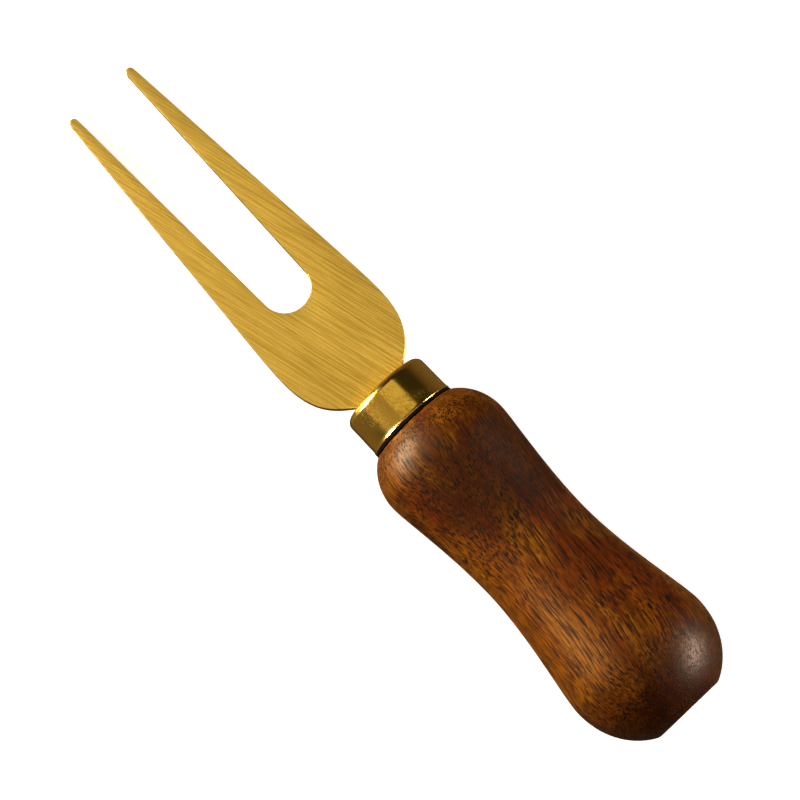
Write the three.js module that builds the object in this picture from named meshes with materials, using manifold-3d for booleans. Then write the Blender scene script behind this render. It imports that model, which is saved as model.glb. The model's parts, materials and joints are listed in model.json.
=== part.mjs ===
// A short two-tined serving fork: a flat metal plate with two long tapering tines, a drawn ferrule,
// a thin black spacer ring and a turned wooden handle. The plate's tang runs through the ferrule
// into a bore in the handle, where adhesive holds it. Units are millimetres and +Z is up.
//
// The pieces are drawn straight, in the fork's own axis: +x points at the tips and x = 0 is the
// front shoulder of the wood. The whole fork is then tipped into the pose in which it lies on a
// table, on its two tips and on the front bulb of its handle.

import * as THREE from 'three';
import { mergeVertices } from 'three/addons/utils/BufferGeometryUtils.js';
import Module from 'manifold-3d';

const wasm = await Module();
wasm.setup();

// ---- driving dimensions --------------------------------------------------------------------

const OVERALL_LENGTH = 140;
const HANDLE_LENGTH = 63.7;       // visible wood, shoulder to butt
const FERRULE_LENGTH = 7.3;
const RING_SPACE = 0.6;           // between the ferrule and the wood, filled by the spacer ring
const CONTACT_GAP = 0.15;         // left between pieces that touch
const GLUE_GAP = 0.25;            // between the tang or adhesive and the hole around it

// The handle's outline: how far each feature lies behind the shoulder, its radius, and at its ends
// the angle of the wood to the axis. The pulls are how far the curves that meet in a feature follow
// its direction, towards the butt and towards the tips.
const SHOULDER = { radius: 8.35, angle: 55.5, pull: 2.4 };
const FRONT_BULB = { back: 7.6, radius: 12.15, rearPull: 2.6, frontPull: 3.6 };
const WAIST = { back: 28.2, radius: 10.5, rearPull: 9.5, frontPull: 9.1 };
const REAR_BULB = { back: 52, radius: 13.35, rearPull: 5.3, frontPull: 3.4 };
const BUTT = { radius: 6.5, angle: 63.5, pull: 4.7 };

// The plate's outline: how far each feature lies ahead of the ferrule, and its half width. The
// tines' outer sides are straight from SIDE_START on.
const PLATE_THICKNESS = 2;
const NECK = { half: 4.4, angle: 58.6, pull: 5.2 };
const WIDEST = { ahead: 12.2, half: 11, rearPull: 6.5, frontPull: 3.2 };
const SIDE_START = { ahead: 24, pull: 4 };
const OUTER_TAPER = 4.25;         // degrees, of a tine's outer side to the axis
const INNER_TAPER = 1.64;         // degrees, of a tine's inner side to the axis
const SLOT_END = 18.9;            // closed end of the gap between the tines
const TIP_RADIUS = 0.75;
const TIP_HALF_SPACING = 6.33;    // from the axis to the middle of a tip

const FERRULE_REAR_RADIUS = 8.2;
const FERRULE_FRONT_RADIUS = 7.95;
const FERRULE_EDGE_RADIUS = 1.3;
const FERRULE_WALL = 1;
const FERRULE_FACE = 1.2;         // thickness of its front face

const TANG_WIDTH = 5;
const TANG_LENGTH = 38;           // behind the ferrule's front face
const BORE_RADIUS = 3.5;
const CORNER_CHAMFER = 0.5;       // inside the ferrule and on the wood's spigot
const DRILL_POINT = 59;           // half the angle of the drilled bore's conical end

const TURNED_SIDES = 48;
const CURVE_STEPS = 10;
const PLATE_CURVE_STEPS = 12;
const MERGE_DISTANCE = 1e-4;      // closer than this, two corners are one
const CUT_OVERRUN = 1;            // how far a cutting shape reaches past what it cuts

// ---- places along the axis -----------------------------------------------------------------

const RING_FRONT = RING_SPACE - CONTACT_GAP;
const FERRULE_REAR = RING_SPACE;
const FERRULE_FRONT = FERRULE_REAR + FERRULE_LENGTH;
const TIP_END = OVERALL_LENGTH - HANDLE_LENGTH;
const TANG_END = FERRULE_FRONT - TANG_LENGTH;
const FERRULE_BORE = FERRULE_REAR_RADIUS - FERRULE_WALL - CONTACT_GAP;
const SPIGOT_RADIUS = FERRULE_BORE - CONTACT_GAP;
const SPIGOT_FRONT = FERRULE_FRONT - FERRULE_FACE - CONTACT_GAP;

// ---- helpers -------------------------------------------------------------------------------

const rad = THREE.MathUtils.degToRad;
const point = (x, y) => new THREE.Vector2(x, y);

// A cubic curve between two points, leaving and arriving along the given directions.
function curveBetween(start, leave, end, arrive) {
  const curve = new THREE.CubicBezierCurve(
    start, start.clone().add(leave), end.clone().sub(arrive), end);
  return curve.getPoints(CURVE_STEPS);
}

// A body turned about the fork's axis. The outline's points are (radius, x along the axis), up
// the outside towards the tips first.
function turned(outline) {
  const body = new THREE.LatheGeometry(outline, TURNED_SIDES);
  body.rotateZ(-Math.PI / 2);
  return body;
}

function toSolid(geometry) {
  const bare = geometry.clone();
  bare.deleteAttribute('normal');
  bare.deleteAttribute('uv');
  const merged = mergeVertices(bare, MERGE_DISTANCE);
  const triangles = [];
  const corners = merged.index.array;
  for (let i = 0; i < corners.length; i += 3) {
    const [a, b, c] = corners.slice(i, i + 3);
    if (a !== b && b !== c && c !== a) triangles.push(a, b, c);
  }
  return new wasm.Manifold(new wasm.Mesh({
    numProp: 3,
    vertProperties: Float32Array.from(merged.attributes.position.array),
    triVerts: Uint32Array.from(triangles),
  }));
}

function fromSolid(solid) {
  const mesh = solid.getMesh();
  const geometry = new THREE.BufferGeometry();
  geometry.setAttribute('position', new THREE.BufferAttribute(mesh.vertProperties, 3));
  geometry.setIndex(new THREE.BufferAttribute(mesh.triVerts, 1));
  geometry.computeVertexNormals();
  return geometry;
}

// A body with a rectangular slot cut along the axis, for the tang to pass through.
function withTangSlot(geometry, from, to) {
  const slot = new THREE.BoxGeometry(
    to - from, TANG_WIDTH + 2 * GLUE_GAP, PLATE_THICKNESS + 2 * GLUE_GAP);
  slot.translate((from + to) / 2, 0, 0);
  return fromSolid(toSolid(geometry).subtract(toSolid(slot)));
}

// ---- handle --------------------------------------------------------------------------------

// The outside of the wood from the butt to the shoulder, as (radius, x). Each stretch between
// two features is one curve, and the bulbs and the waist are where it runs along the axis.
function handleOutside() {
  const at = (feature) => point(feature.radius, -feature.back);
  const along = (length) => point(0, length);
  const slanting = (feature) =>
    point(Math.sin(rad(feature.angle)), Math.cos(rad(feature.angle))).multiplyScalar(feature.pull);
  const butt = point(BUTT.radius, -HANDLE_LENGTH);
  const shoulder = point(SHOULDER.radius, 0);
  const rising = slanting(BUTT);
  const falling = slanting(SHOULDER).multiply(point(-1, 1));
  const towardsRearBulb = along(REAR_BULB.rearPull);
  const fromRearBulb = along(REAR_BULB.frontPull);
  const towardsWaist = along(WAIST.rearPull);
  const fromWaist = along(WAIST.frontPull);
  const towardsFrontBulb = along(FRONT_BULB.rearPull);
  const fromFrontBulb = along(FRONT_BULB.frontPull);
  return [
    ...curveBetween(butt, rising, at(REAR_BULB), towardsRearBulb),
    ...curveBetween(at(REAR_BULB), fromRearBulb, at(WAIST), towardsWaist).slice(1),
    ...curveBetween(at(WAIST), fromWaist, at(FRONT_BULB), towardsFrontBulb).slice(1),
    ...curveBetween(at(FRONT_BULB), fromFrontBulb, shoulder, falling).slice(1),
  ];
}

// The wood also has a spigot that fills the ferrule and a drilled bore for the tang.
function handleGeometry() {
  const boreEnd = TANG_END - 2 * GLUE_GAP;
  return turned([
    point(0, -HANDLE_LENGTH),
    ...handleOutside(),
    point(SPIGOT_RADIUS, 0),
    point(SPIGOT_RADIUS, SPIGOT_FRONT - CORNER_CHAMFER),
    point(SPIGOT_RADIUS - CORNER_CHAMFER, SPIGOT_FRONT),
    point(BORE_RADIUS, SPIGOT_FRONT),
    point(BORE_RADIUS, boreEnd),
    point(0, boreEnd - BORE_RADIUS / Math.tan(rad(DRILL_POINT))),
  ]);
}

// ---- ferrule, spacer ring and adhesive -----------------------------------------------------

function ferruleGeometry() {
  const edge = new THREE.EllipseCurve(
    FERRULE_FRONT_RADIUS - FERRULE_EDGE_RADIUS, FERRULE_FRONT - FERRULE_EDGE_RADIUS,
    FERRULE_EDGE_RADIUS, FERRULE_EDGE_RADIUS, 0, Math.PI / 2);
  const inside = FERRULE_FRONT - FERRULE_FACE;
  const cup = turned([
    point(0, inside),
    point(FERRULE_BORE - CORNER_CHAMFER, inside),
    point(FERRULE_BORE, inside - CORNER_CHAMFER),
    point(FERRULE_BORE, FERRULE_REAR),
    point(FERRULE_REAR_RADIUS, FERRULE_REAR),
    ...edge.getPoints(CURVE_STEPS),
    point(0, FERRULE_FRONT),
  ]);
  return withTangSlot(cup, inside - CUT_OVERRUN, FERRULE_FRONT + CUT_OVERRUN);
}

function spacerRingGeometry() {
  const inner = SPIGOT_RADIUS + CONTACT_GAP;
  const outer = SHOULDER.radius - CONTACT_GAP;
  return turned([
    point(inner, CONTACT_GAP),
    point(outer, CONTACT_GAP),
    point(outer, RING_FRONT),
    point(inner, RING_FRONT),
    point(inner, CONTACT_GAP),
  ]);
}

function adhesiveGeometry() {
  const radius = BORE_RADIUS - CONTACT_GAP;
  const end = TANG_END - GLUE_GAP - CONTACT_GAP;
  const plug = turned([
    point(0, end - radius / Math.tan(rad(DRILL_POINT))),
    point(radius, end),
    point(radius, SPIGOT_FRONT),
    point(0, SPIGOT_FRONT),
  ]);
  return withTangSlot(plug, TANG_END - GLUE_GAP, SPIGOT_FRONT + CUT_OVERRUN);
}

// ---- fork plate ----------------------------------------------------------------------------

// One side of the plate's outline, from the tang to the closed end of the gap between the tines.
// The tip is an arc that both sides of the tine are tangent to, and so is the closed end.
function addPlateSide(shape) {
  const outer = rad(OUTER_TAPER);
  const inner = rad(INNER_TAPER);
  const ahead = (distance) => FERRULE_FRONT + distance;
  const tipX = TIP_END - TIP_RADIUS;
  const outerHalf = (x) =>
    TIP_HALF_SPACING + TIP_RADIUS / Math.cos(outer) + (tipX - x) * Math.tan(outer);
  const innerHalf = (x) =>
    TIP_HALF_SPACING - TIP_RADIUS / Math.cos(inner) - (tipX - x) * Math.tan(inner);
  const slotRadius = innerHalf(ahead(SLOT_END)) * Math.cos(inner) / (1 - Math.sin(inner));
  const neckX = ahead(CONTACT_GAP);
  const neckLeave = {
    x: neckX + NECK.pull * Math.cos(rad(NECK.angle)),
    y: NECK.half + NECK.pull * Math.sin(rad(NECK.angle)),
  };
  const widestX = ahead(WIDEST.ahead);
  const sideX = ahead(SIDE_START.ahead);
  const sideArrive = {
    x: sideX - SIDE_START.pull * Math.cos(outer),
    y: outerHalf(sideX) + SIDE_START.pull * Math.sin(outer),
  };

  shape.lineTo(neckX, TANG_WIDTH / 2);
  shape.lineTo(neckX, NECK.half);
  shape.bezierCurveTo(
    neckLeave.x, neckLeave.y, widestX - WIDEST.rearPull, WIDEST.half, widestX, WIDEST.half);
  shape.bezierCurveTo(
    widestX + WIDEST.frontPull, WIDEST.half,
    sideArrive.x, sideArrive.y, sideX, outerHalf(sideX));
  shape.absarc(tipX, TIP_HALF_SPACING, TIP_RADIUS, Math.PI / 2 - outer, -Math.PI / 2 + inner, true);
  shape.absarc(ahead(SLOT_END) + slotRadius, 0, slotRadius, Math.PI / 2 + inner, Math.PI, false);
}

// The other side is the mirror image, taken in the opposite order.
function plateShape() {
  const side = new THREE.Shape();
  side.moveTo(TANG_END, TANG_WIDTH / 2);
  addPlateSide(side);
  const upper = side.getPoints(PLATE_CURVE_STEPS);
  const lower = upper.slice(0, -1).map((p) => point(p.x, -p.y)).reverse();
  return new THREE.Shape([...upper, ...lower]);
}

function plateGeometry() {
  const plate = new THREE.ExtrudeGeometry(
    plateShape(), { depth: PLATE_THICKNESS, bevelEnabled: false });
  plate.translate(0, 0, -PLATE_THICKNESS / 2);
  return plate;
}

// ---- assembly ------------------------------------------------------------------------------

const PIECES = [
  ['fork_plate', plateGeometry(), { color: 0xc8a03c, roughness: 0.38, metalness: 1 }],
  ['ferrule', ferruleGeometry(), { color: 0xc9a040, roughness: 0.25, metalness: 1 }],
  ['spacer_ring', spacerRingGeometry(), { color: 0x0c0a0a, roughness: 0.6, metalness: 0 }],
  ['handle', handleGeometry(), { color: 0x6e3a16, roughness: 0.5, metalness: 0 }],
  ['tang_adhesive', adhesiveGeometry(), { color: 0xb9a373, roughness: 0.4, metalness: 0 }],
];

const fork = new THREE.Group();
for (const [name, geometry, finish] of PIECES) {
  const mesh = new THREE.Mesh(geometry, new THREE.MeshStandardMaterial(finish));
  mesh.name = name;
  fork.add(mesh);
}

// The fork lies on the lower edge of its tips and on the handle: the slope of the line from the
// tips that just touches the wood.
const slopes = handleOutside().map((p) =>
  Math.atan2(p.x - PLATE_THICKNESS / 2, TIP_END - p.y));
fork.rotation.y = Math.max(...slopes);

// The origin is on the table, under the middle of the fork's bounding box.
const box = new THREE.Box3().setFromObject(fork, true);
const middle = box.getCenter(new THREE.Vector3());
fork.position.set(-middle.x, -middle.y, -box.min.z);

const part = new THREE.Group();
part.add(fork);

export default part;
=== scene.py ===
"""Looks of a short two-tined serving fork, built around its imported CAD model.

The fork lies on a table on its two tips and on the front bulb of its handle. Each shaped piece is
rebuilt here, finer than its CAD solid, from that solid's own outline, and gets a procedural
material. Lengths in this file are in millimetres in the fork's own axes: x runs from the butt
towards the tips, y across the plate and z out of the plate's upper face.
"""

import json
import math

import bmesh
import bpy
from mathutils import Matrix, Vector


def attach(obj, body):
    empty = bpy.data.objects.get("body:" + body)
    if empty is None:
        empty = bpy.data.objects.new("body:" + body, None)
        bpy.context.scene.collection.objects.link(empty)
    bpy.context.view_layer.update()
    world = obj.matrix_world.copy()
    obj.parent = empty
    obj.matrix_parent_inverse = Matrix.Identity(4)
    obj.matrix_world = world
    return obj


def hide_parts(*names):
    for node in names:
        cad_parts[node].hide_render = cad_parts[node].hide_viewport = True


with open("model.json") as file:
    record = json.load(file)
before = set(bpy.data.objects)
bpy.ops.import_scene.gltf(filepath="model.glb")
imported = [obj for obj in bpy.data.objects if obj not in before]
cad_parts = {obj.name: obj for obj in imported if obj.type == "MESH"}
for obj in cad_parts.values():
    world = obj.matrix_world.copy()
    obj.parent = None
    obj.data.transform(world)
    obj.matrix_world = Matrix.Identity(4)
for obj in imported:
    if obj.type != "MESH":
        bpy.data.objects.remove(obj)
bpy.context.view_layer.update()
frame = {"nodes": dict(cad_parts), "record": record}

# ---- the fork's own axes, from the record's butt face ----------------------------------------

MM = 0.001
BUTT_FACE = frame["record"]["mounts"][0]
ALONG = -Vector(BUTT_FACE["axis"]).normalized()
ACROSS = Vector((0, 1, 0))
OUT = ALONG.cross(ACROSS)
FORK_AXES = Matrix((ALONG, ACROSS, OUT)).transposed()
FORK = Matrix.LocRotScale(Vector(BUTT_FACE["pos_m"]), FORK_AXES, Vector((MM, MM, MM)))
TO_FORK = FORK.inverted()


def own_points(node):
    """The places of a CAD node's vertices in the fork's own axes."""
    return [TO_FORK @ v.co for v in frame["nodes"][node].data.vertices]


def rings(node):
    """(x, radius) of every ring of vertices of a turned CAD node, from the butt to the tips."""
    found = {(round(p.x, 2), round(math.hypot(p.y, p.z), 2)) for p in own_points(node)}
    return sorted(found)


# ---- sizes -----------------------------------------------------------------------------------

TURNED_SIDES = 144
SKIN = 0.02                 # how far inside its CAD solid a turned piece stays
CURVE_PARTS = 4             # parts that each straight step of a CAD outline is smoothed into
STEP = 0.5                  # least difference of radius that counts as a step in the wood
NEAR = 0.02                 # how far apart two equal CAD sizes may be once rounded
TINY = 1e-6                 # a length below this is nothing

ring_places = rings("spacer_ring")
RING_REAR, RING_FRONT = ring_places[0][0], ring_places[-1][0]
RING_RADIUS = max(r for x, r in ring_places)
RING_BORE = min(r for x, r in ring_places)

wood_places = rings("handle")
SPIGOT_RADIUS = max(r for x, r in wood_places if x > RING_FRONT)
SPIGOT_FRONT = wood_places[-1][0]
SHOULDER = max(x for x, r in wood_places if r > SPIGOT_RADIUS + STEP)
BORE_RADIUS = min(r for x, r in wood_places if x == SPIGOT_FRONT)
BORE_END = min(x for x, r in wood_places if 0 < x < SHOULDER and abs(r - BORE_RADIUS) < NEAR)
BORE_POINT = min(x for x, r in wood_places if 0 < x < SHOULDER and r < NEAR)
SPIGOT_CHAMFER = 0.5
BUTT_SOFTENING = 0.55       # how far from the butt's corner its rounding reaches
SHOULDER_SOFTENING = 0.4
BUTT_RINGS = (0, 0.35, 0.7)  # rings of the butt face, as shares of its radius

ferrule_places = rings("ferrule")
FERRULE_REAR, FERRULE_FRONT = ferrule_places[0][0], ferrule_places[-1][0]
FERRULE_RADIUS = max(r for x, r in ferrule_places)
FERRULE_BORE = min(r for x, r in ferrule_places if x == FERRULE_REAR)
FERRULE_FACE = 1.2          # thickness of the ferrule's front face
FERRULE_EDGE = 1.3          # rounding between its side and its front face
FERRULE_TAPER = 0.05        # how much less its radius is at the front
FERRULE_LIP = 0.14          # how far its rear end flares out
LIP_LENGTH = 0.9
RIM_ROUNDING = 0.16
FACE_RING = 3.6             # radius of the ring that divides its front face
RIM_PARTS, LIP_PARTS, SIDE_PARTS, EDGE_PARTS = 6, 8, 6, 14
RING_PARTS = 8              # parts of the spacer ring's round outside

plate_points = own_points("fork_plate")
PLATE_HALF_THICKNESS = max(p.z for p in plate_points)
TANG_HALF_WIDTH = max(abs(p.y) for p in plate_points if p.x < SHOULDER)
PLATE_EDGE = 0.05           # bevel round the plate's faces
FACING = 0.99               # cosine above which a face counts as part of the upper face
SLOT_CLEARANCE = 0.25       # between the tang and the hole through the ferrule's face

# ---- mesh helpers ----------------------------------------------------------------------------


def finished(mesh, name, replaced, material, crease_degrees=35):
    """Makes the built mesh a smooth-shaded piece that stands for a CAD node."""
    bmesh.ops.recalc_face_normals(mesh, faces=mesh.faces)
    mesh.transform(FORK)
    data = bpy.data.meshes.new(name)
    mesh.to_mesh(data)
    mesh.free()
    data.polygons.foreach_set("use_smooth", [True] * len(data.polygons))
    data.set_sharp_from_angle(angle=math.radians(crease_degrees))
    data.materials.append(material)
    piece = bpy.data.objects.new(name, data)
    bpy.context.scene.collection.objects.link(piece)
    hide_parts(replaced)
    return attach(piece, "root")


def arc(centre, radius, start, end, parts):
    """Points (x, r) on an arc between two angles in degrees; 0 is towards the tips, 90 outwards."""
    turns = [math.radians(start + (end - start) * i / parts) for i in range(parts + 1)]
    return [(centre[0] + radius * math.cos(a), centre[1] + radius * math.sin(a)) for a in turns]


def turned(outline, closed=False):
    """A body of revolution about the fork's axis, from points (x, radius)."""
    mesh = bmesh.new()
    made = []
    for x, radius in outline:
        sides = TURNED_SIDES if radius > TINY else 1
        made.append([mesh.verts.new((x, radius * math.cos(a), radius * math.sin(a)))
                     for a in (math.tau * i / TURNED_SIDES for i in range(sides))])
    pairs = list(zip(made, made[1:]))
    if closed:
        pairs.append((made[-1], made[0]))
    for near, far in pairs:
        for i in range(TURNED_SIDES):
            j = (i + 1) % TURNED_SIDES
            corners = [near[i % len(near)], near[j % len(near)],
                       far[j % len(far)], far[i % len(far)]]
            mesh.faces.new(list(dict.fromkeys(corners)))
    return mesh


def between(start, leave, end, arrive, parts):
    """Points on a cubic curve from start up to end, end left out."""
    steps = []
    for i in range(parts):
        t = i / parts
        steps.append(start * ((1 + 2 * t) * (1 - t) ** 2) + leave * (t * (1 - t) ** 2)
                     + end * (t * t * (3 - 2 * t)) + arrive * (t * t * (t - 1)))
    return steps


def smoothed(points, closed, corner_degrees=20, longest=3.0):
    """The outline with its short steps curved, and its corners and long straight sides kept.

    A turn of more than corner_degrees is a corner, and a step above longest stays straight.
    """
    count = len(points)
    steps = [(points[(i + 1) % count] - points[i]) for i in range(count)]
    directions = []
    for i in range(count):
        before, after = steps[i - 1].normalized(), steps[i].normalized()
        at_end = not closed and i in (0, count - 1)
        corner = at_end or before.angle(after) > math.radians(corner_degrees)
        directions.append(None if corner else (before + after).normalized())
    result = []
    for i in range(count if closed else count - 1):
        j = (i + 1) % count
        length = steps[i].length
        straight = steps[i].normalized()
        if length > longest or (directions[i] is None and directions[j] is None):
            result.append(points[i])
            continue
        leave = (directions[i] or straight) * length
        arrive = (directions[j] or straight) * length
        result += between(points[i], leave, points[j], arrive, CURVE_PARTS)
    return result if closed else result + [points[-1]]


def flared(start, end, parts):
    """Points between two (x, r), start and end left out, that level out towards the end."""
    (x0, r0), (x1, r1) = start, end
    shares = [i / parts for i in range(1, parts)]
    return [(x0 + (x1 - x0) * t, r1 + (r0 - r1) * (1 - t) ** 2) for t in shares]


def softened(outline, reach, parts=6):
    """The open outline with its first point, a corner with the flat end before it, rounded."""
    corner = outline[0]
    start = Vector((corner.x, corner.y - reach))
    kept = [p for p in outline if (p - corner).length > reach]
    end = corner + (kept[0] - corner).normalized() * reach
    curve = []
    for i in range(parts):
        t = i / parts
        curve.append(start * (1 - t) ** 2 + corner * (2 * t * (1 - t)) + end * t * t)
    return curve + [end] + kept


# ---- node helpers ----------------------------------------------------------------------------


def node(tree, kind, inputs=None, **settings):
    """Adds a shader node, with its inputs linked or set, by name or by number."""
    made = tree.nodes.new("ShaderNode" + kind)
    for key, value in settings.items():
        setattr(made, key, value)
    for key, value in (inputs or {}).items():
        if isinstance(value, bpy.types.NodeSocket):
            tree.links.new(value, made.inputs[key])
        else:
            made.inputs[key].default_value = value
    return made


def maths(tree, operation, a, b=0.0):
    return node(tree, "Math", {0: a, 1: b}, operation=operation).outputs[0]


def vector_maths(tree, operation, a, b=(0, 0, 0)):
    return node(tree, "VectorMath", {0: a, 1: b}, operation=operation)


def spread(tree, value, low, high, new_low=0.0, new_high=1.0):
    """The value stretched from one range to another, with soft ends."""
    inputs = {"Value": value, "From Min": low, "From Max": high,
              "To Min": new_low, "To Max": new_high}
    return node(tree, "MapRange", inputs, interpolation_type="SMOOTHSTEP").outputs[0]


def mixed(tree, factor, a, b, blend="MIX"):
    """Two colours mixed or, with another blend, combined."""
    inputs = {0: factor, 6: a, 7: b}
    return node(tree, "Mix", inputs, data_type="RGBA", blend_type=blend).outputs[2]


def fork_place(tree):
    """Where a point of the surface is in the fork's own axes, in millimetres."""
    place = node(tree, "TexCoord").outputs["Object"]
    inputs = {"Vector": place, "Location": FORK.to_translation(),
              "Rotation": FORK_AXES.to_euler(), "Scale": (MM, MM, MM)}
    return node(tree, "Mapping", inputs, vector_type="TEXTURE").outputs[0]


def stretched(tree, place, scale, turn_degrees=(0, 0, 0)):
    """The place turned back by some angles and then scaled, for patterns that run one way."""
    turn = tuple(math.radians(a) for a in turn_degrees)
    turned_back = node(tree, "Mapping", {"Vector": place, "Rotation": turn},
                       vector_type="TEXTURE").outputs[0]
    return node(tree, "Mapping", {"Vector": turned_back, "Scale": scale}).outputs[0]


def noise(tree, place, scale=1.0, detail=2.0, roughness=0.5, distortion=0.0):
    inputs = {"Vector": place, "Scale": scale, "Detail": detail,
              "Roughness": roughness, "Distortion": distortion}
    return node(tree, "TexNoise", inputs).outputs["Fac"]


def new_material(name):
    """An empty node material: the material, its node tree and its principled shader."""
    material = bpy.data.materials.new(name)
    material.use_nodes = True
    tree = material.node_tree
    return material, tree, tree.nodes["Principled BSDF"]


def linear(red, green, blue):
    """A colour given as 0 to 255 in sRGB, as linear light."""
    def one(value):
        value /= 255
        return value / 12.92 if value <= 0.04045 else ((value + 0.055) / 1.055) ** 2.4
    return one(red), one(green), one(blue), 1.0


def wire(tree, shader, links):
    for key, socket in links.items():
        tree.links.new(socket, shader.inputs[key])


def bumped(tree, height, distance, strength=1.0):
    """A surface normal from a height pattern; the distance is in millimetres."""
    inputs = {"Height": height, "Distance": distance * MM, "Strength": strength}
    return node(tree, "Bump", inputs).outputs[0]


# ---- materials -------------------------------------------------------------------------------

GOLD = (0.83, 0.55, 0.105, 1.0)
GOLD_DEEP = (0.38, 0.2, 0.022, 1.0)
PALE_GOLD = (0.89, 0.6, 0.138, 1.0)
PALE_GOLD_DEEP = (0.53, 0.34, 0.055, 1.0)
# painted dark reflection for the plate's cut sides, which also dims the lamps' glints there
CUT_SIDE_DARK_REFLECTION = (0.19, 0.1, 0.015, 1.0)
RUBBER = ((0.003, 0.002, 0.001, 1), (0.012, 0.007, 0.005, 1))
RESIN = ((0.55, 0.46, 0.28, 1), (0.78, 0.7, 0.5, 1))

# colour of the waist's left flank, where the side light falls: partly the wood's own tone, partly
# painted light
HONEY_ON_LIT_FLANK = linear(196, 116, 14)
GOLD_BROWN = linear(152, 88, 9)
RED_BROWN = linear(116, 49, 4)
DARK_BROWN = linear(60, 20, 2)
OILED_BROWN = linear(56, 15, 2)
PORE_BROWN = linear(26, 6, 0)
BRIGHTER_FIBRES_AND_SHEEN = (1.35, 1.3, 1.2, 1)      # what the wood's colour is multiplied by in its pale fibres, which also stand in for painted sheen flecks
WARM_SHINE = (1.0, 0.78, 0.5, 1.0)  # tint of the oiled wood's reflections

# Degrees by which each pattern is turned from the fork's axis
BRUSH_TURN = (0, 0, 14)
HAIR_TURN = (0, 0, 40)
CROSS_TURN = (0, 0, -12)
GRAIN_TURN = (0, 7.5, -8)

# How many times a pattern changes in a millimetre: along, across and through
BRUSH_LINES = (0.1, 6.5, 6.5)
DEEP_LINES = (0.06, 6.0, 6.0)
HAIR_SCRATCHES = (0.8, 6.5, 6.5)
CROSS_SCRATCHES = (0.9, 5.5, 5.5)
WOOD_FIGURE = (0.06, 0.14, 0.14)
WOOD_BANDS = (0.04, 0.5, 0.5)
WOOD_FIBRES = (0.5, 3.6, 3.6)
WOOD_STREAKS = (0.11, 3.4, 3.4)
SWAY_PATTERN = 0.07
SWAY = (0.0, 2.4, 2.4)              # how far the grain wanders

# Regions of the wood: centre and reach
HEART = ((SHOULDER - 15, -4, 8), (9.5, 11.5, 22))       # dark wood on the front bulb
END_GRAIN = ((-6, 0, 0), (17, 40, 40))                  # dark wood round the butt
LIT_PALE_FLANK = ((SHOULDER - 38, 9, 4), (18, 8, 12))            # pale wood on the waist's left side, where the side light falls: partly the wood's own tone, partly painted light
SPECKLED = ((SHOULDER - 17, 2, 8), (11, 16, 26))        # where short pores crowd
ZONE_RAGGEDNESS = 0.25
ZONE_OUTSIDE, ZONE_INSIDE = 1.95, 1.1                   # ragged distances where a zone ends and is full


def brushed_gold():
    """Gold coated steel sheet: fine slanting brush lines, and painted dark reflection on its cut sides.
    """
    material, tree, shader = new_material("brushed_gold")
    place = fork_place(tree)
    fine_place = stretched(tree, place, BRUSH_LINES, BRUSH_TURN)
    lines = noise(tree, fine_place, detail=2, roughness=0.6)
    deep = noise(tree, stretched(tree, place, DEEP_LINES, BRUSH_TURN), detail=1)
    shade = spread(tree, lines, 0.38, 0.60)
    colour = mixed(tree, shade, PALE_GOLD_DEEP, PALE_GOLD)
    scored = spread(tree, deep, 0.56, 0.70, 0.0, 0.55)
    colour = mixed(tree, scored, colour, PALE_GOLD_DEEP)
    height = node(tree, "SeparateXYZ", {"Vector": place}).outputs[2]
    inset = maths(tree, "SUBTRACT", PLATE_HALF_THICKNESS, maths(tree, "ABSOLUTE", height))
    # painted dark reflection: the cut sides get a darker gold, which also dims the lamps' glints on
    # them
    cut_side_painted_dark = spread(tree, inset, PLATE_EDGE * 0.1, PLATE_EDGE * 0.8)
    colour = mixed(tree, cut_side_painted_dark, colour, CUT_SIDE_DARK_REFLECTION)
    face_roughness = spread(tree, lines, 0.3, 0.7, 0.36, 0.26)
    shader.inputs["Metallic"].default_value = 1.0
    wire(tree, shader, {
        "Base Color": colour,
        "Roughness": maths(tree, "ADD", face_roughness, maths(tree, "MULTIPLY", cut_side_painted_dark, 0.15)),
        "Normal": bumped(tree, maths(tree, "SUBTRACT", lines, scored), 0.008),
    })
    return material


def polished_gold():
    """Drawn gold coated steel: smoother, with hair scratches that gather in patches."""
    material, tree, shader = new_material("polished_gold")
    place = fork_place(tree)
    hair = noise(tree, stretched(tree, place, HAIR_SCRATCHES, HAIR_TURN), detail=2)
    cross = noise(tree, stretched(tree, place, CROSS_SCRATCHES, CROSS_TURN), detail=2)
    patch = spread(tree, noise(tree, place, scale=0.13, detail=2), 0.40, 0.60, 0.1, 1.0)
    scratches = maths(tree, "MAXIMUM", hair, cross)
    worn = maths(tree, "MULTIPLY", spread(tree, scratches, 0.48, 0.66), patch)
    shader.inputs["Metallic"].default_value = 1.0
    wire(tree, shader, {
        "Base Color": mixed(tree, maths(tree, "MULTIPLY", worn, 0.8), GOLD, GOLD_DEEP),
        "Roughness": spread(tree, worn, 0.0, 1.0, 0.16, 0.28),
        "Normal": bumped(tree, maths(tree, "MULTIPLY", scratches, patch), 0.003),
    })
    return material


def matt_black():
    """The spacer ring's black rubber, faintly mottled."""
    material, tree, shader = new_material("matt_black")
    place = fork_place(tree)
    mottle = noise(tree, place, scale=1.5, detail=3)
    shader.inputs["Specular IOR Level"].default_value = 0.03
    wire(tree, shader, {
        "Base Color": mixed(tree, mottle, *RUBBER),
        "Roughness": spread(tree, mottle, 0.3, 0.7, 0.75, 0.9),
        "Normal": bumped(tree, mottle, 0.02),
    })
    return material


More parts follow.
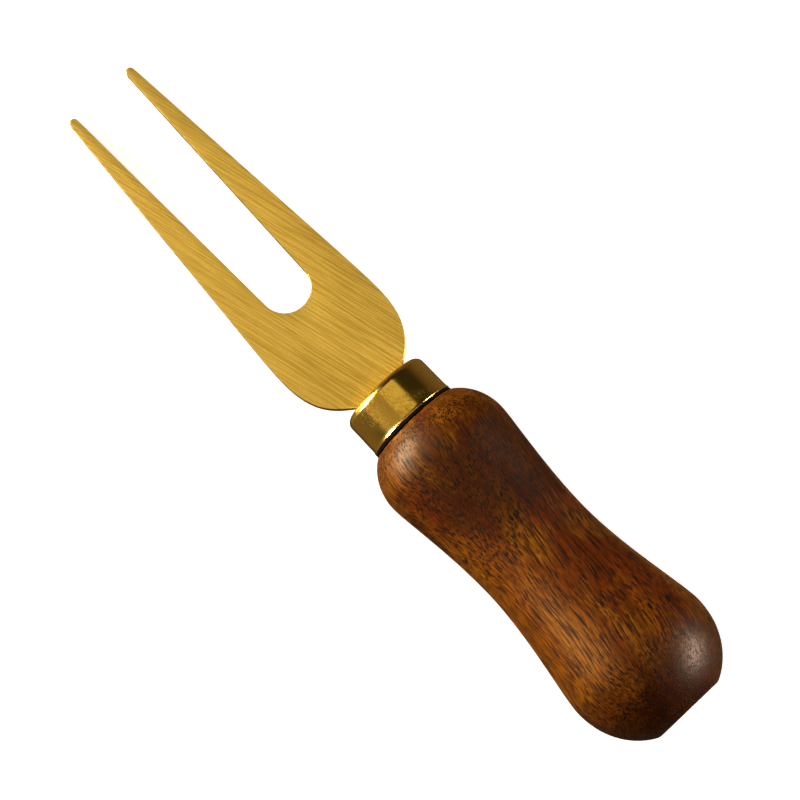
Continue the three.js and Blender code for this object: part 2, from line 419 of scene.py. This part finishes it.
def pores(tree, place, across, along, size, share):
    """Open pores as slender dark hollows along the grain: 1 in a pore and 0 outside.

    There is one cell to each pore, of the lengths across and along the grain. A pore takes up
    to size of its cell, and share of the cells have one.
    """
    scaled = stretched(tree, place, (1 / along, 1 / across, 1 / across))
    cells = node(tree, "TexVoronoi", {"Vector": scaled, "Scale": 1.0, "Randomness": 1.0},
                 feature="F1")
    chance = node(tree, "SeparateColor", {"Color": cells.outputs["Color"]}).outputs[0]
    radius = maths(tree, "MULTIPLY", spread(tree, chance, 1 - share, 1.0), size)
    inside = maths(tree, "SUBTRACT", radius, cells.outputs["Distance"])
    return spread(tree, inside, 0.0, 0.05)


def zone(tree, place, centre, reach):
    """1 at the centre of an egg-shaped region of the wood, falling softly to 0 outside it."""
    off = vector_maths(tree, "SUBTRACT", place, centre).outputs[0]
    share = vector_maths(tree, "DIVIDE", off, reach).outputs[0]
    distance = vector_maths(tree, "LENGTH", share).outputs["Value"]
    ragged = maths(tree, "ADD", distance, noise(tree, place, scale=ZONE_RAGGEDNESS, detail=4))
    return spread(tree, ragged, ZONE_OUTSIDE, ZONE_INSIDE)


def swayed(tree, place):
    """The place moved a little to and fro across the fork, so that the grain wanders."""
    drift = node(tree, "TexNoise", {"Vector": place, "Scale": SWAY_PATTERN, "Detail": 1.0})
    drift = vector_maths(tree, "SUBTRACT", drift.outputs["Color"], (0.5, 0.5, 0.5)).outputs[0]
    drift = vector_maths(tree, "MULTIPLY", drift, SWAY).outputs[0]
    return vector_maths(tree, "ADD", place, drift).outputs[0]


def wood_colour(tree, place, grain, fibres, end_grain):
    """The wood's colour without its pores: blotches, bands, dark regions, a pale flank partly of
    painted light, and fibres partly of painted sheen.
    """
    figure = noise(tree, stretched(tree, grain, WOOD_FIGURE), detail=4, distortion=0.6)
    bands = noise(tree, stretched(tree, grain, WOOD_BANDS), detail=3)
    streaks = noise(tree, stretched(tree, grain, WOOD_STREAKS), detail=2)
    pale = maths(tree, "MULTIPLY", zone(tree, place, *LIT_PALE_FLANK), 0.32)
    dark = maths(tree, "MULTIPLY", maths(tree, "MAXIMUM", zone(tree, place, *HEART), end_grain), 0.75)
    colour = mixed(tree, spread(tree, figure, 0.38, 0.6), RED_BROWN, GOLD_BROWN)
    colour = mixed(tree, spread(tree, bands, 0.56, 0.36, 0.0, 0.5), colour, DARK_BROWN)
    # painted light, on top of the wood's own tone: the waist's left flank, where the side light falls,
    # is made paler
    colour = mixed(tree, pale, colour, HONEY_ON_LIT_FLANK)
    colour = mixed(tree, dark, colour, OILED_BROWN)
    # the pale fibres: partly the wood's grain, partly painted sheen flecks of the oil finish
    colour = mixed(tree, spread(tree, fibres, 0.50, 0.38), colour, BRIGHTER_FIBRES_AND_SHEEN, "MULTIPLY")
    colour = mixed(tree, spread(tree, fibres, 0.48, 0.64, 0.0, 0.55), colour, DARK_BROWN)
    return mixed(tree, spread(tree, streaks, 0.50, 0.64, 0.0, 0.75), colour, DARK_BROWN)


def wood_pores(tree, place, grain, end_grain):
    """1 in the wood's pores: long ones everywhere, and short ones mostly where they crowd."""
    long_pores = pores(tree, grain, across=0.25, along=5.0, size=0.58, share=0.95)
    short_pores = pores(tree, grain, across=0.24, along=1.3, size=0.58, share=0.95)
    crowded = spread(tree, zone(tree, place, *SPECKLED), 0.0, 1.0, 0.3, 1.0)
    depth = maths(tree, "MAXIMUM", crowded, maths(tree, "MULTIPLY", end_grain, 0.85))
    return maths(tree, "MAXIMUM", maths(tree, "MULTIPLY", long_pores, 0.95),
                 maths(tree, "MULTIPLY", short_pores, depth))


def oiled_wood():
    """Dark red-brown hardwood, oiled: blotchy colour, fine fibres and open pores."""
    material, tree, shader = new_material("oiled_wood")
    place = swayed(tree, fork_place(tree))
    grain = stretched(tree, place, (1, 1, 1), GRAIN_TURN)
    fibres = noise(tree, stretched(tree, grain, WOOD_FIBRES), detail=3, roughness=0.6)
    end_grain = zone(tree, place, *END_GRAIN)
    open_pores = wood_pores(tree, place, grain, end_grain)
    colour = wood_colour(tree, place, grain, fibres, end_grain)
    height = maths(tree, "SUBTRACT", maths(tree, "MULTIPLY", fibres, 0.15), open_pores)
    coarse = maths(tree, "ADD", fibres, open_pores)
    shader.inputs["IOR"].default_value = 1.5
    shader.inputs["Specular IOR Level"].default_value = 0.08
    shader.inputs["Specular Tint"].default_value = WARM_SHINE
    wire(tree, shader, {
        "Base Color": mixed(tree, open_pores, colour, PORE_BROWN),
        "Roughness": spread(tree, coarse, 0.3, 1.4, 0.38, 0.52),
        "Normal": bumped(tree, height, 0.02, 0.6),
    })
    return material


def epoxy():
    """The cured adhesive round the tang, with small bubbles."""
    material, tree, shader = new_material("epoxy")
    place = fork_place(tree)
    cloud = noise(tree, place, scale=0.6, detail=3)
    bubbles = pores(tree, place, across=1.1, along=1.1, size=0.2, share=0.5)
    wire(tree, shader, {
        "Base Color": mixed(tree, cloud, *RESIN),
        "Roughness": spread(tree, cloud, 0.3, 0.7, 0.3, 0.45),
        "Normal": bumped(tree, bubbles, 0.1),
    })
    return material


# ---- handle ----------------------------------------------------------------------------------


def wood_outside():
    """The wood from its butt face to its shoulder, as (x, radius), with softened corners."""
    widest = {}
    for x, radius in wood_places:
        if x <= SHOULDER and radius > BORE_RADIUS + STEP:
            widest[x] = max(radius, widest.get(x, 0))
    steps = [Vector((x, widest[x] - SKIN)) for x in sorted(widest)]
    outline = softened(smoothed(steps, closed=False), BUTT_SOFTENING)
    return softened(outline[::-1], SHOULDER_SOFTENING)[::-1]


def make_handle(material):
    hollow = [(SHOULDER, SPIGOT_RADIUS), (SPIGOT_FRONT - SPIGOT_CHAMFER, SPIGOT_RADIUS),
              (SPIGOT_FRONT, SPIGOT_RADIUS - SPIGOT_CHAMFER), (SPIGOT_FRONT, BORE_RADIUS),
              (BORE_END, BORE_RADIUS), (BORE_POINT, 0)]
    outside = [(p.x, p.y) for p in wood_outside()]
    butt_rings = [(0, outside[0][1] * share) for share in BUTT_RINGS]
    mesh = turned(butt_rings + outside + hollow)
    return finished(mesh, "turned_handle", "handle", material)


# ---- ferrule and spacer ring -----------------------------------------------------------------


def slot_cutter():
    """A block the size of the hole for the tang through the ferrule's front face."""
    mesh = bmesh.new()
    bmesh.ops.create_cube(mesh, size=1)
    sizes = (4 * FERRULE_FACE, 2 * (TANG_HALF_WIDTH + SLOT_CLEARANCE),
             2 * (PLATE_HALF_THICKNESS + SLOT_CLEARANCE))
    middle = (FERRULE_FRONT - FERRULE_FACE / 2, 0, 0)
    mesh.transform(FORK @ Matrix.LocRotScale(Vector(middle), None, Vector(sizes)))
    data = bpy.data.meshes.new("slot_cutter")
    mesh.to_mesh(data)
    mesh.free()
    cutter = bpy.data.objects.new("slot_cutter", data)
    bpy.context.scene.collection.objects.link(cutter)
    return cutter


def cut(piece, cutter):
    """Takes the cutter's shape out of the piece and throws the cutter away."""
    modifier = piece.modifiers.new("cut", "BOOLEAN")
    modifier.operation = "DIFFERENCE"
    modifier.solver = "EXACT"
    modifier.object = cutter
    evaluated = piece.evaluated_get(bpy.context.evaluated_depsgraph_get())
    result = bpy.data.meshes.new_from_object(evaluated)
    piece.modifiers.clear()
    piece.data = result
    bpy.data.objects.remove(cutter)


def make_ferrule(material):
    rear = FERRULE_RADIUS - SKIN
    side_rear = rear - FERRULE_LIP
    front = side_rear - FERRULE_TAPER
    rim_centre = (FERRULE_REAR + RIM_ROUNDING, rear - RIM_ROUNDING)
    rim = arc(rim_centre, RIM_ROUNDING, 180, 80, RIM_PARTS)
    side_start = FERRULE_REAR + LIP_LENGTH
    side_length = FERRULE_FRONT - FERRULE_EDGE - side_start
    lip = flared(rim[-1], (side_start, side_rear), LIP_PARTS)
    side = [(side_start + side_length * i / SIDE_PARTS, side_rear - FERRULE_TAPER * i / SIDE_PARTS)
            for i in range(SIDE_PARTS)]
    edge_centre = (FERRULE_FRONT - FERRULE_EDGE, front - FERRULE_EDGE)
    edge = arc(edge_centre, FERRULE_EDGE, 88, 0, EDGE_PARTS)
    inner_face = FERRULE_FRONT - FERRULE_FACE
    inside = [(inner_face, 0), (inner_face, FERRULE_BORE - SPIGOT_CHAMFER),
              (inner_face - SPIGOT_CHAMFER, FERRULE_BORE), (FERRULE_REAR, FERRULE_BORE)]
    face = [(FERRULE_FRONT, FACE_RING), (FERRULE_FRONT, 0)]
    outline = inside + rim + lip + side + edge + face
    piece = finished(turned(outline), "drawn_ferrule", "ferrule",
                     material)
    cut(piece, slot_cutter())
    return piece


def make_ring(material):
    middle, half = (RING_REAR + RING_FRONT) / 2, (RING_FRONT - RING_REAR) / 2
    outer = arc((middle, RING_RADIUS - SKIN - half), half, 180, 0, RING_PARTS)
    inner = [(RING_FRONT, RING_BORE), (RING_REAR, RING_BORE)]
    return finished(turned(outer + inner, closed=True), "rounded_spacer_ring", "spacer_ring",
                    material, crease_degrees=60)


# ---- plate -----------------------------------------------------------------------------------


def plate_outline():
    """The plate's outline, followed round the edge of its CAD solid's upper face."""
    data = frame["nodes"]["fork_plate"].data
    used = set()
    for face in data.polygons:
        if face.normal.dot(OUT) < FACING:
            continue
        corners = [TO_FORK @ data.vertices[i].co for i in face.vertices]
        keys = [(round(p.x, 3), round(p.y, 3)) for p in corners]
        used.update(zip(keys, keys[1:] + keys[:1]))
    following = {a: b for a, b in used if (b, a) not in used}
    start = min(following)
    loop = [start]
    while following[loop[-1]] != start:
        loop.append(following[loop[-1]])
    return [Vector(p) for p in loop]


def make_plate(material):
    outline = smoothed(plate_outline(), closed=True)
    half = PLATE_HALF_THICKNESS
    mesh = bmesh.new()
    top = mesh.faces.new([mesh.verts.new((p.x, p.y, half)) for p in outline])
    made = bmesh.ops.extrude_face_region(mesh, geom=[top])["geom"]
    lower = [v for v in made if isinstance(v, bmesh.types.BMVert)]
    bmesh.ops.translate(mesh, vec=(0, 0, -2 * half), verts=lower)
    rims = [e for e in mesh.edges
            if abs(e.verts[0].co.z - e.verts[1].co.z) < TINY and len(e.link_faces) == 2]
    bmesh.ops.bevel(mesh, geom=rims, offset=PLATE_EDGE, segments=3, profile=0.5,
                    affect="EDGES", clamp_overlap=True)
    return finished(mesh, "brushed_plate", "fork_plate", material)


# ---- floor, light and camera -----------------------------------------------------------------

LOOK_AT = Vector((-0.0013, -0.0008, 0.012))    # in metres, as all lengths in this section are
CAMERA_DISTANCE = 0.4961
CAMERA_TIP = math.radians(-0.4)      # towards +X
CAMERA_LEAN = math.radians(5.0)      # towards +Y
CAMERA_SPIN = math.radians(-43.27)   # of the picture's upward direction, from +X
SENSOR = 36.0                        # of the camera, in millimetres, as its lens is
LENS = 137.5
STEEP = 0.6                          # rise of a light's direction above which it hangs overhead
LOW_DISTANCE = 0.9                   # of the low softboxes

# The room's brightness from straight down, 0, over the horizon, 0.5, to straight up, 1
ROOM = ((0.0, 0.05), (0.04, 0.08), (0.1, 0.19), (0.32, 0.17), (0.5, 0.09), (0.62, 0.02))
ROOM_TINT = (1, 0.68, 0.32)
ROOM_TOP = (0.02, 0.013, 0.006, 1)

FLOOR_HALF_WIDTH = 3
FLOOR_GREYS = ((0.8, 0.8, 0.8, 1), (0.84, 0.84, 0.84, 1))
FLOOR_GLOW = 0.75


def make_camera():
    back = Vector((math.sin(CAMERA_TIP), math.sin(CAMERA_LEAN) * math.cos(CAMERA_TIP),
                   math.cos(CAMERA_LEAN) * math.cos(CAMERA_TIP)))
    right = Vector((math.cos(CAMERA_SPIN), math.sin(CAMERA_SPIN), 0)).cross(back).normalized()
    axes = Matrix((right, back.cross(right), back)).transposed()
    camera = bpy.data.objects.new("camera", bpy.data.cameras.new("camera"))
    camera.data.lens = LENS
    camera.data.sensor_width = SENSOR
    camera.matrix_world = Matrix.LocRotScale(LOOK_AT + back * CAMERA_DISTANCE, axes, None)
    bpy.context.scene.collection.objects.link(camera)
    bpy.context.scene.camera = camera


def softbox(name, toward, distance, size, radiance, colour, seen_in="both"):
    """A rectangular light of a given brightness that faces the fork; its width lies level.

    It can be kept to the even shading of a surface ("shade") or to its shine ("shine").
    """
    width, height = size
    data = bpy.data.lights.new(name, "AREA")
    data.shape = "RECTANGLE"
    data.size, data.size_y = width, height
    data.energy = radiance * math.pi * width * height
    data.color = colour
    light = bpy.data.objects.new(name, data)
    back = Vector(toward).normalized()
    level = Vector((1, 0, 0)) if back.z > STEEP else Vector((0, 0, 1)).cross(back)
    across = (level - back * level.dot(back)).normalized()
    axes = Matrix((across, back.cross(across), back)).transposed()
    light.matrix_world = Matrix.LocRotScale(LOOK_AT + back * distance, axes, None)
    light.visible_camera = False
    light.visible_diffuse = seen_in != "shine"
    light.visible_glossy = seen_in != "shade"
    bpy.context.scene.collection.objects.link(light)


def leaning(towards_x, towards_y):
    """The direction upwards that leans by two angles, in degrees, towards +X and +Y."""
    return (math.tan(math.radians(towards_x)), math.tan(math.radians(towards_y)), 1)


def low(azimuth, elevation):
    """The direction at an azimuth from +X towards +Y and an elevation, in degrees."""
    a, e = math.radians(azimuth), math.radians(elevation)
    return (math.cos(a) * math.cos(e), math.sin(a) * math.cos(e), math.sin(e))


def make_lights():
    """Broad light from above and from one side, and low softboxes ahead and behind."""
    above = leaning(8, -7)
    softbox("overhead", above, distance=1.03, size=(1.3, 0.85), radiance=0.69,
            colour=(1, 0.98, 0.94), seen_in="shade")
    softbox("overhead_shine", above, distance=1.0, size=(1.3, 0.85), radiance=0.69,
            colour=(1, 0.86, 0.5), seen_in="shine")
    softbox("side", leaning(5, 43), distance=1.0, size=(1.0, 0.95), radiance=0.34,
            colour=(1, 0.76, 0.42))
    softbox("fill", low(35, 18), LOW_DISTANCE, size=(0.55, 0.34), radiance=17.0,
            colour=(1, 0.95, 0.82), seen_in="shade")
    softbox("rear_fill", low(240, 12), LOW_DISTANCE, size=(0.4, 0.25), radiance=15.0,
            colour=(1, 0.95, 0.86), seen_in="shade")
    softbox("key", low(38, 9), LOW_DISTANCE, size=(0.6, 0.36), radiance=92.0,
            colour=(1, 0.94, 0.8), seen_in="shine")
    softbox("rear_key", low(230, 17), LOW_DISTANCE, size=(0.5, 0.34), radiance=64.0,
            colour=(1, 0.94, 0.92), seen_in="shine")


def make_world():
    """The room's own light: dim above the horizon, and the glow of a pale table below it."""
    world = bpy.data.worlds.new("studio")
    bpy.context.scene.world = world
    world.use_nodes = True
    tree = world.node_tree
    direction = node(tree, "TexCoord").outputs["Generated"]
    height = node(tree, "SeparateXYZ", {"Vector": direction}).outputs[2]
    whole = node(tree, "MapRange", {"Value": height, "From Min": -1.0, "From Max": 1.0})
    ramp = node(tree, "ValToRGB", {"Fac": whole.outputs[0]})
    stops = ramp.color_ramp.elements
    stops[0].position = 1.0
    stops.remove(stops[-1])
    stops[0].color = ROOM_TOP
    for position, value in ROOM:
        stops.new(position).color = (*(value * tint for tint in ROOM_TINT), 1)
    tree.links.new(ramp.outputs["Color"], tree.nodes["Background"].inputs["Color"])


def make_floor():
    """A pale tabletop that the camera sees, but that the fork neither reflects nor is lit by."""
    mesh = bmesh.new()
    bmesh.ops.create_grid(mesh, x_segments=8, y_segments=8, size=FLOOR_HALF_WIDTH)
    data = bpy.data.meshes.new("tabletop")
    mesh.to_mesh(data)
    mesh.free()
    floor = bpy.data.objects.new("tabletop", data)
    bpy.context.scene.collection.objects.link(floor)
    material, tree, shader = new_material("pale_tabletop")
    place = node(tree, "TexCoord").outputs["Object"]
    tint = noise(tree, place, scale=3, detail=2)
    wire(tree, shader, {"Base Color": mixed(tree, tint, *FLOOR_GREYS)})
    shader.inputs["Roughness"].default_value = 0.9
    shader.inputs["Emission Color"].default_value = (1, 1, 1, 1)
    shader.inputs["Emission Strength"].default_value = FLOOR_GLOW
    data.materials.append(material)
    floor.visible_glossy = False
    floor.visible_diffuse = False
    floor.visible_shadow = False


# ---- everything together ---------------------------------------------------------------------

make_handle(oiled_wood())
make_ferrule(polished_gold())
make_ring(matt_black())
make_plate(brushed_gold())
adhesive = frame["nodes"]["tang_adhesive"]
adhesive.data.materials.clear()
adhesive.data.materials.append(epoxy())

make_floor()
make_world()
make_lights()
make_camera()
bpy.context.scene.view_settings.view_transform = "Standard"
